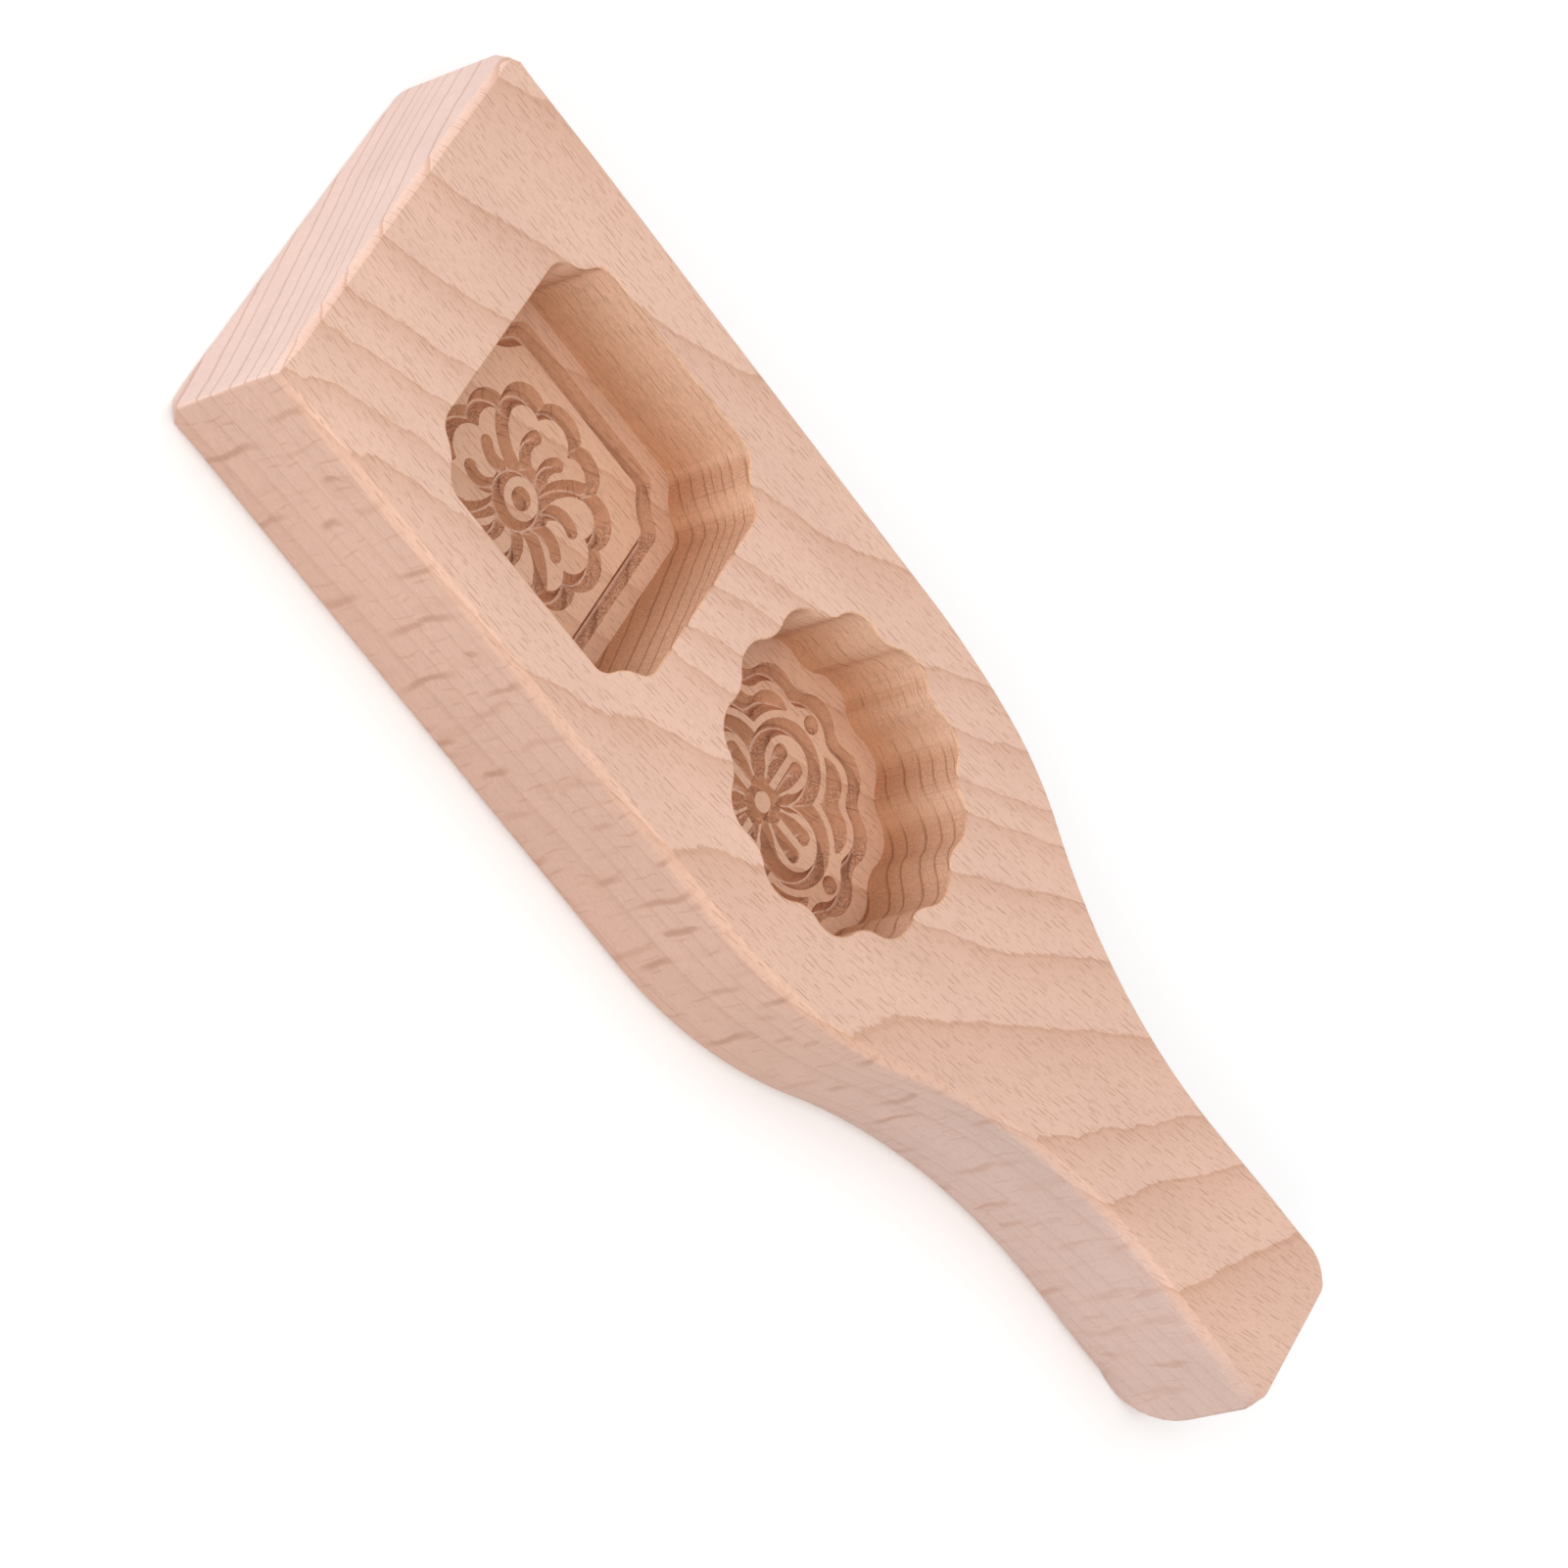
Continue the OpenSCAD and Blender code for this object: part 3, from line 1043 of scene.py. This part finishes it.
@dataclass(frozen=True)
class BeechFigure:
    """The figure inside a beech plank: growth rings, rays and fine fibre. Sizes are in millimetres."""

    ring: float = 3.45
    top_z: float = 26.5
    middle: float = 6.033
    run_x: Triple = (-3.517, -1.294, -0.655)
    run_y: Triple = (2.831, 0.417, -0.576)
    twist: Triple = (-0.701, 0.383, -0.227)
    years: tuple[float, ...] = (
        -2.4, 0.19, 1.61, 2.5, 3.77, 4.75, 5.58, 6.43, 6.89, 7.52, 8.15, 9.15, 10.43, 12.02
    )
    lean: float = -0.139
    bend: float = -0.000745
    unit_x: float = 0.01
    unit_y: float = 0.025
    swing: float = 4.0
    # Unevenness of the rings, then of flecks, torn ends, fibre and tone
    wander: Noise = Noise((40, 16, 26), swing=0.5)
    blobs: Noise = Noise((5.5, 1.7, 2.2), swing=0.11)
    teeth: Noise = Noise((2.4, 0.3, 0.9), rough=0.6, swing=0.055)
    swerve: Noise = Noise((7, 9, 7), detail=1.0, swing=3.0)
    torn: Noise = Noise((0.5, 0.35, 0.3), rough=0.6)
    fibre: Noise = Noise((1.2, 0.15, 0.25), 3.0, 0.65)
    cloud: Noise = Noise((60, 18, 14), 3.0, 0.55)
    long_ray: Dash = Dash((5.0, 1.1, 7.0), 4.8, 0.2)
    short_ray: Dash = Dash((3.0, 0.8, 5.0), 2.2, 0.17)
    streak: Dash = Dash((6.0, 5.0, 1.2), 6.0, 0.22, thin=Axis.UP)
    broad_fleck: Dash = Dash((8.0, 9.0, 17.0), 20.0, 1.6, Axis.UP, Axis.ALONG, 0.2)
    slim_fleck: Dash = Dash((3.2, 9.0, 7.0), 9.0, 0.6, Axis.UP, Axis.ALONG, 0.1)
    short_share: float = 0.6
    slim_share: float = 0.55
    late_power: float = 2.6
    # Ends of smooth steps, where each mask is 0 and where it is 1
    fresh: Pair = (1.0, 0.985)
    brim: Pair = (0.93, 0.975)
    late_line: Pair = (0.8, 0.95)
    head: Pair = (85.0, 20.0)
    speck: Pair = (0.3, 0.7)
    blush: Pair = (5.0, 62.0)
    # Heights where the painted shade low on the cavity walls is 0 and where it is full
    deep: Pair = (25.0, 8.0)
    end: Pair = (0.4, 0.97)
    side: Pair = (0.45, 0.95)
    # Ends of the painted shade on slopes turned away from the light
    slope_shade: Pair = (0.0, 0.5)
    brow_low: Pair = (0.15, 0.5)
    brow_high: Pair = (0.99, 0.9)
    # Plan direction away from the light
    lee_way: Pair = (0.55, 0.83)

    def height(self, kit: NodeKit, x: Socket, y: Socket, z: Socket) -> Socket:
        """How many mean rings lie under a point.

        Args:
            kit: Node kit of the figure.
            x, y, z: Sockets of the place, in millimetres.

        Returns:
            The number's socket.
        """
        u, v = kit.times(x, self.unit_x), kit.times(y, self.unit_y)
        flat = kit.times(kit.bow(u, self.run_x), u)
        cross = kit.times(kit.bow(v, self.run_y), v)
        both = kit.total(self.twist[0], kit.times(v, self.twist[1]), kit.times(u, self.twist[2]))
        deep = kit.math("DIVIDE", kit.math("SUBTRACT", z, self.top_z), self.ring)
        return kit.total(self.middle, flat, cross, kit.times(both, kit.times(u, v)), deep)

    def year(self, kit: NodeKit, height: Socket) -> Socket:
        """Number of the year that a height belongs to, as wide and narrow years follow each other.

        Args:
            kit: Node kit of the figure.
            height: Socket of the number of mean rings.

        Returns:
            The year's socket.
        """
        low, span = self.years[0] - 0.5, self.years[-1] - self.years[0] + 1.0
        share = kit.math("DIVIDE", kit.math("SUBTRACT", height, low), span)
        node = kit.add("ShaderNodeFloatCurve", {"Value": share})
        line = node.mapping.curves[0]
        spots = [
            ((at - low) / span, 0.5 + (number - 1 - at) / self.swing) for number, at in enumerate(self.years)
        ]
        line.points[0].location, line.points[1].location = spots[0], spots[-1]
        for at, shift in spots[1:-1]:
            line.points.new(at, shift)
        for point in line.points:
            point.handle_type = "VECTOR"
        node.mapping.extend = "HORIZONTAL"
        node.mapping.update()
        return kit.total(height, kit.times(kit.math("SUBTRACT", node.outputs[0], 0.5), self.swing))

    def rings(self, kit: NodeKit, grain: Socket, place: tuple[Socket, ...]) -> dict[str, Value]:
        """Masks of the growth rings: the late wood, its brim and its line on steep faces.

        Args:
            kit: Node kit of the figure.
            grain: Socket of the place along the run of the fibres.
            place: Sockets of the place, in millimetres.

        Returns:
            The masks by name.
        """
        uneven = (kit.sway(grain, kind) for kind in (self.wander, self.blobs, self.teeth))
        phase = kit.math("FRACT", self.year(kit, kit.total(self.height(kit, *place), *uneven)))
        fresh = kit.ramp(phase, *self.fresh)
        return {
            "Ring": kit.times(kit.math("POWER", phase, self.late_power), fresh),
            "Brim": kit.times(kit.ramp(phase, *self.brim), fresh),
            "Line": kit.times(kit.ramp(phase, *self.late_line), fresh),
        }

    def marks(self, kit: NodeKit, grain: Socket, spot: Socket, x: Socket) -> dict[str, Value]:
        """Masks of the rays on flat faces, the streaks on walls and the flecks on the sides.

        Args:
            kit: Node kit of the figure.
            grain: Socket of the place along the run of the fibres.
            spot: Socket of the place, in millimetres.
            x: Socket of the place along the board.

        Returns:
            The masks by name.
        """
        rays = kit.times(kit.dashes(grain, self.short_ray), self.short_share)
        bent = kit.vector("ADD", spot, kit.point(kit.sway(spot, self.swerve)))
        slim = kit.times(kit.dashes(bent, self.slim_fleck), self.slim_share)
        flecks = kit.most(kit.dashes(bent, self.broad_fleck), slim)
        return {
            "Ray": kit.most(kit.dashes(grain, self.long_ray), rays),
            "Streak": kit.dashes(grain, self.streak),
            "Fleck": kit.times(flecks, kit.line(kit.ramp(x, *self.head), 0.5, 0.5)),
        }

    def facing(self, kit: NodeKit, normal: Socket) -> dict[str, Value]:
        """Masks of the way a face looks: ends, sides, slopes out of the light and rounded edges.

        Args:
            kit: Node kit of the figure.
            normal: Socket of the face's normal.

        Returns:
            The masks by name.
        """
        x, y, z = kit.axes(normal)
        lee_x, lee_y = self.lee_way
        return {
            "End": kit.ramp(kit.math("ABSOLUTE", x), *self.end),
            "Side": kit.ramp(kit.math("ABSOLUTE", y), *self.side),
            # Painted shade on slopes turned away from the light
            "SlopeShade": kit.ramp(kit.line(x, lee_x, kit.times(y, lee_y)), *self.slope_shade),
            "Brow": kit.times(kit.ramp(z, *self.brow_low), kit.ramp(z, *self.brow_high)),
        }

    def group(self) -> bpy.types.NodeTree:
        """Build the node group.

        Returns:
            A group that puts out masks for rings, rays, flecks, fibre and end grain, and for painted shade
            low in the cavity and on slopes out of the light.
        """
        tree = bpy.data.node_groups.new("beech_figure", "ShaderNodeTree")
        kit = NodeKit(tree)
        where = kit.add("ShaderNodeTexCoord")
        spot = kit.vector("SCALE", where.outputs["Object"], 1.0 / MM)
        x, y, z = kit.axes(spot)
        bend = kit.times(kit.times(x, x), self.bend)
        grain = kit.point(x, kit.total(y, kit.times(x, self.lean), bend), z)
        masks = {
            **self.rings(kit, grain, (x, y, z)),
            **self.marks(kit, grain, spot, x),
            **self.facing(kit, where.outputs["Normal"]),
            "Speck": kit.ramp(kit.noise(spot, self.torn), *self.speck),
            "Blush": kit.ramp(x, *self.blush),
            # Painted shade, darker towards the bottom of the cavity
            "LowShade": kit.ramp(z, *self.deep),
            "Fibre": kit.noise(grain, self.fibre),
            "Cloud": kit.noise(grain, self.cloud),
        }
        for name in masks:
            tree.interface.new_socket(name, in_out="OUTPUT", socket_type="NodeSocketFloat")
        kit.add("NodeGroupOutput", masks)
        return tree


@dataclass(frozen=True)
class BeechFinishAndShade:
    """One way in which the beech was worked, and the painted shade and highlight that go with it. Colours
    are linear.
    """

    name: str
    pale: Colour
    late: Colour
    side: Colour
    side_late: Colour
    end_pale: Colour
    end_late: Colour
    ray: Colour
    neck: Colour | None = None
    # Colour of the painted highlight along the bottoms of the carved grooves
    valley: Colour = (0.9, 0.67, 0.56, 1.0)
    # Tint of the painted shade low on the cavity walls
    deep: Colour | None = None
    # Tint of the painted shade on slopes turned away from the light
    slope_shade: Colour | None = None
    brow: Colour | None = None
    side_lines: float = 0.5
    dash: float = 0.6
    streak: float = 0.2
    fleck: float = 0.95
    fibre: float = 0.34
    speck: float = 0.0
    rough: float = 0.62
    rough_span: float = 0.16
    gloss: float = 0.25
    bump: float = 0.5
    bump_up: float = 0.0001
    fibre_up: float = 0.5
    ray_down: float = 0.6
    top_ring: float = 0.75
    top_brim: float = 0.35
    side_ring: float = 0.3
    side_line: float = 0.38
    neck_fade: float = 0.35
    steep_fade: float = 0.8
    cloud: float = 0.2
    # Strength of the painted highlight along groove bottoms
    groove: float = 0.8

    def colour(self, kit: NodeKit, mask: dict[str, Socket]) -> Socket:
        """Lay the colours of rings, end grain, rays, the painted shade low in the cavity and on slopes out
        of the light, and the painted highlight along groove bottoms over each other.

        Args:
            kit: Node kit of the material.
            mask: Masks of the plank's figure.

        Returns:
            The socket of the colour.
        """
        ring = kit.total(kit.times(mask["Ring"], self.top_ring), kit.times(mask["Brim"], self.top_brim))
        faint = kit.total(kit.times(mask["Ring"], self.side_ring), kit.times(mask["Line"], self.side_line))
        flank = kit.blend(mask["Blush"], self.side, self.neck or self.side)
        top = kit.blend(ring, self.pale, self.late)
        fade = kit.line(mask["Blush"], -self.neck_fade * self.side_lines, self.side_lines)
        upright = kit.blend(kit.times(faint, fade), flank, self.side_late)
        upright = kit.blend(kit.times(mask["Fleck"], self.fleck), upright, self.side_late)
        across = kit.blend(mask["Line"], self.end_pale, self.end_late)
        colour = kit.blend(mask["End"], kit.blend(mask["Side"], top, upright), across)
        # Painted shade low on the cavity walls and on slopes turned away from the light, then the lighter
        # rounded edges
        for name, tint in (("LowShade", self.deep), ("SlopeShade", self.slope_shade), ("Brow", self.brow)):
            if tint:
                colour = kit.blend(mask[name], colour, kit.blend(1.0, colour, tint, "MULTIPLY"))
        cloud = kit.line(mask["Cloud"], self.cloud, 1.0 - self.cloud / 2)
        fibre = kit.line(mask["Fibre"], self.fibre, 1.0 - self.fibre / 2)
        torn = kit.times(kit.math("SUBTRACT", mask["Speck"], 0.5), mask["End"])
        speck = kit.line(torn, self.speck, 1.0)
        colour = kit.vector("SCALE", colour, kit.times(cloud, fibre, speck))
        steep = kit.most(mask["Side"], mask["End"])
        flat = kit.times(mask["Ray"], kit.line(steep, -self.steep_fade * self.dash, self.dash))
        streaks = kit.times(mask["Streak"], mask["Side"], self.streak)
        colour = kit.blend(kit.most(flat, streaks), colour, self.ray)
        # Painted highlight along the bottoms of the carved grooves
        low = kit.add("ShaderNodeAttribute", attribute_name="valley")
        return kit.blend(kit.times(low.outputs["Fac"], self.groove), colour, self.valley)

    def material(self, figure: bpy.types.NodeTree) -> bpy.types.Material:
        """Build the material from the shared figure.

        Args:
            figure: Node group of the plank's figure.

        Returns:
            The material.
        """
        material = bpy.data.materials.new(self.name)
        kit = NodeKit.of(material)
        wood = kit.add("ShaderNodeGroup", node_tree=figure)
        mask = {socket.name: socket for socket in wood.outputs}
        fibres, rays = kit.times(mask["Fibre"], self.fibre_up), kit.times(mask["Ray"], self.ray_down)
        relief = kit.math("SUBTRACT", fibres, rays)
        bump = kit.add("ShaderNodeBump", {"Strength": self.bump, "Distance": self.bump_up, "Height": relief})
        given = {
            "Base Color": self.colour(kit, mask),
            "Normal": bump.outputs[0],
            "Roughness": kit.line(mask["Fibre"], self.rough_span, self.rough - self.rough_span / 2),
            "Specular IOR Level": self.gloss,
        }
        shader = kit.add("ShaderNodeBsdfPrincipled", given)
        kit.add("ShaderNodeOutputMaterial", {"Surface": shader.outputs[0]})
        return material


FINISHES_AND_SHADE = (
    BeechFinishAndShade(
        name="beech_sanded",
        pale=(0.778, 0.51, 0.395, 1.0),
        late=(0.655, 0.385, 0.275, 1.0),
        side=(0.66, 0.425, 0.33, 1.0),
        side_late=(0.5, 0.285, 0.205, 1.0),
        neck=(0.665, 0.475, 0.41, 1.0),
        end_pale=(0.815, 0.6, 0.53, 1.0),
        end_late=(0.67, 0.435, 0.355, 1.0),
        ray=(0.4, 0.185, 0.1, 1.0),
        brow=(1.06, 1.03, 1.0, 1.0),
    ),
    # Cavity walls: partly the cut wood's own darker, more orange tone, partly painted cavity shade and
    # bounce light
    BeechFinishAndShade(
        name="beech_wall",
        pale=(0.8, 0.48, 0.32, 1.0),
        late=(0.5, 0.26, 0.15, 1.0),
        # Lighter on walls that face along Y: painted light that lifts the cavity's far wall out of its shade
        side=(0.88, 0.59, 0.42, 1.0),
        side_late=(0.5, 0.26, 0.15, 1.0),
        end_pale=(0.72, 0.435, 0.295, 1.0),
        end_late=(0.46, 0.245, 0.15, 1.0),
        ray=(0.34, 0.17, 0.1, 1.0),
        # Painted shade: darker towards the bottom of the wall
        deep=(0.79, 0.67, 0.55, 1.0),
        side_lines=0.25,
        streak=0.6,
        fleck=0.15,
        fibre=0.7,
        speck=0.3,
        bump=0.8,
    ),
    # Cavity floor: partly the cut wood's own tone, partly painted cavity shade
    BeechFinishAndShade(
        name="beech_floor",
        pale=(0.755, 0.48, 0.335, 1.0),
        late=(0.65, 0.375, 0.245, 1.0),
        side=(0.74, 0.47, 0.33, 1.0),
        side_late=(0.65, 0.375, 0.245, 1.0),
        end_pale=(0.75, 0.46, 0.33, 1.0),
        end_late=(0.5, 0.28, 0.19, 1.0),
        ray=(0.34, 0.17, 0.1, 1.0),
    ),
    # Carved grooves: partly the cut wood's own darker tone, partly painted cavity shade and saturated bounce
    # light
    BeechFinishAndShade(
        name="beech_carved",
        pale=(0.64, 0.335, 0.195, 1.0),
        late=(0.45, 0.21, 0.12, 1.0),
        side=(0.66, 0.345, 0.2, 1.0),
        side_late=(0.36, 0.16, 0.085, 1.0),
        end_pale=(0.57, 0.3, 0.185, 1.0),
        end_late=(0.34, 0.15, 0.085, 1.0),
        ray=(0.24, 0.1, 0.055, 1.0),
        # Painted shade: darker, more saturated slopes turned away from the light
        slope_shade=(0.64, 0.43, 0.28, 1.0),
        fleck=0.6,
        fibre=0.6,
        speck=0.95,
        bump=1.0,
    ),
)


@dataclass(frozen=True)
class Lamp:
    """A square soft light that looks at the board. Sizes are in metres."""

    name: str
    toward: Triple
    level: float
    size: float = 1.0
    away: float = 1.6

    def build(self) -> None:
        """Hang the lamp, so bright that a white face turned to it gets its level."""
        light = bpy.data.lights.new(self.name, "AREA")
        light.shape = "SQUARE"
        light.size = self.size
        light.energy = self.level * math.pi**2 * self.away**2
        lamp = bpy.data.objects.new(self.name, light)
        way = Vector(self.toward).normalized()
        lamp.location = way * self.away
        lamp.rotation_euler = way.to_track_quat("Z", "Y").to_euler()
        bpy.context.scene.collection.objects.link(lamp)


@dataclass
class Studio:
    """Pale floor, soft lights and the camera. Sizes are in metres."""

    camera_at: Triple = (-0.464472, -0.740722, 0.836553)
    camera_turn: tuple[float, float, float, float] = (0.85591, 0.23811, -0.316065, 0.332902)
    lens: float = 7763.44 / 1601 * 36
    sensor: float = 36.0
    view_end: float = 50.0
    ambient: float = 0.55
    floor_half: float = 6.0
    floor_drop: float = 0.0002
    floor_glow: float = 0.2
    floor_colour: Colour = (0.9, 0.9, 0.9, 1.0)
    room_colour: Colour = (1.0, 1.0, 1.0, 1.0)
    lamps: tuple[Lamp, ...] = (
        Lamp("front", (-0.3, -0.88, 0.36), 0.24),
        Lamp("overhead", (0.0, 0.2, 0.98), 0.22, 1.2),
        Lamp("camera_side", (-0.36, -0.57, 0.74), 0.22),
        Lamp("head_side", (-0.95, 0.0, 0.3), 0.2),
    )

    def floor(self) -> None:
        """Lay the floor under the board, white to the camera apart from the shadow."""
        bm = bmesh.new()
        bmesh.ops.create_grid(bm, x_segments=1, y_segments=1, size=self.floor_half)
        bmesh.ops.translate(bm, vec=(0, 0, -self.floor_drop), verts=bm.verts[:])
        floor = placed(bm, "studio_floor")
        material = bpy.data.materials.new("pale_floor")
        kit = NodeKit.of(material)
        shader = kit.add("ShaderNodeBsdfDiffuse", {"Color": self.floor_colour})
        glow = kit.add("ShaderNodeEmission", {"Strength": kit.times(kit.seen(), self.floor_glow)})
        both = kit.add("ShaderNodeAddShader", {0: shader.outputs[0], 1: glow.outputs[0]})
        kit.add("ShaderNodeOutputMaterial", {"Surface": both.outputs[0]})
        floor.data.materials.append(material)

    def world(self) -> None:
        """Fill the room with even light, white to the camera."""
        world = bpy.data.worlds.new("studio_room")
        bpy.context.scene.world = world
        kit = NodeKit.of(world)
        level = kit.line(kit.seen(), 1.0 - self.ambient, self.ambient)
        room = kit.add("ShaderNodeBackground", {"Strength": level, "Color": self.room_colour})
        kit.add("ShaderNodeOutputWorld", {"Surface": room.outputs[0]})

    def camera(self) -> None:
        """Set the camera at the photograph's angle."""
        data = bpy.data.cameras.new("photo_camera")
        data.sensor_width = self.sensor
        data.lens = self.lens
        data.clip_end = self.view_end
        camera = bpy.data.objects.new("photo_camera", data)
        camera.location = self.camera_at
        camera.rotation_euler = Quaternion(self.camera_turn).to_euler()
        bpy.context.scene.collection.objects.link(camera)
        bpy.context.scene.camera = camera

    def build(self) -> None:
        """Set up the whole studio."""
        self.floor()
        self.world()
        for lamp in self.lamps:
            lamp.build()
        self.camera()
        bpy.context.scene.view_settings.view_transform = "Standard"


def main() -> None:
    """Build the board and the studio, and note the sizes."""
    logging.basicConfig(level=logging.INFO, format="%(name)s: %(message)s")
    board = MouldBoard()
    piece = board.build()
    board.dress(piece)
    LOG.info("piece %s", piece.name)
    Studio().build()


if __name__ == "__main__":
    main()
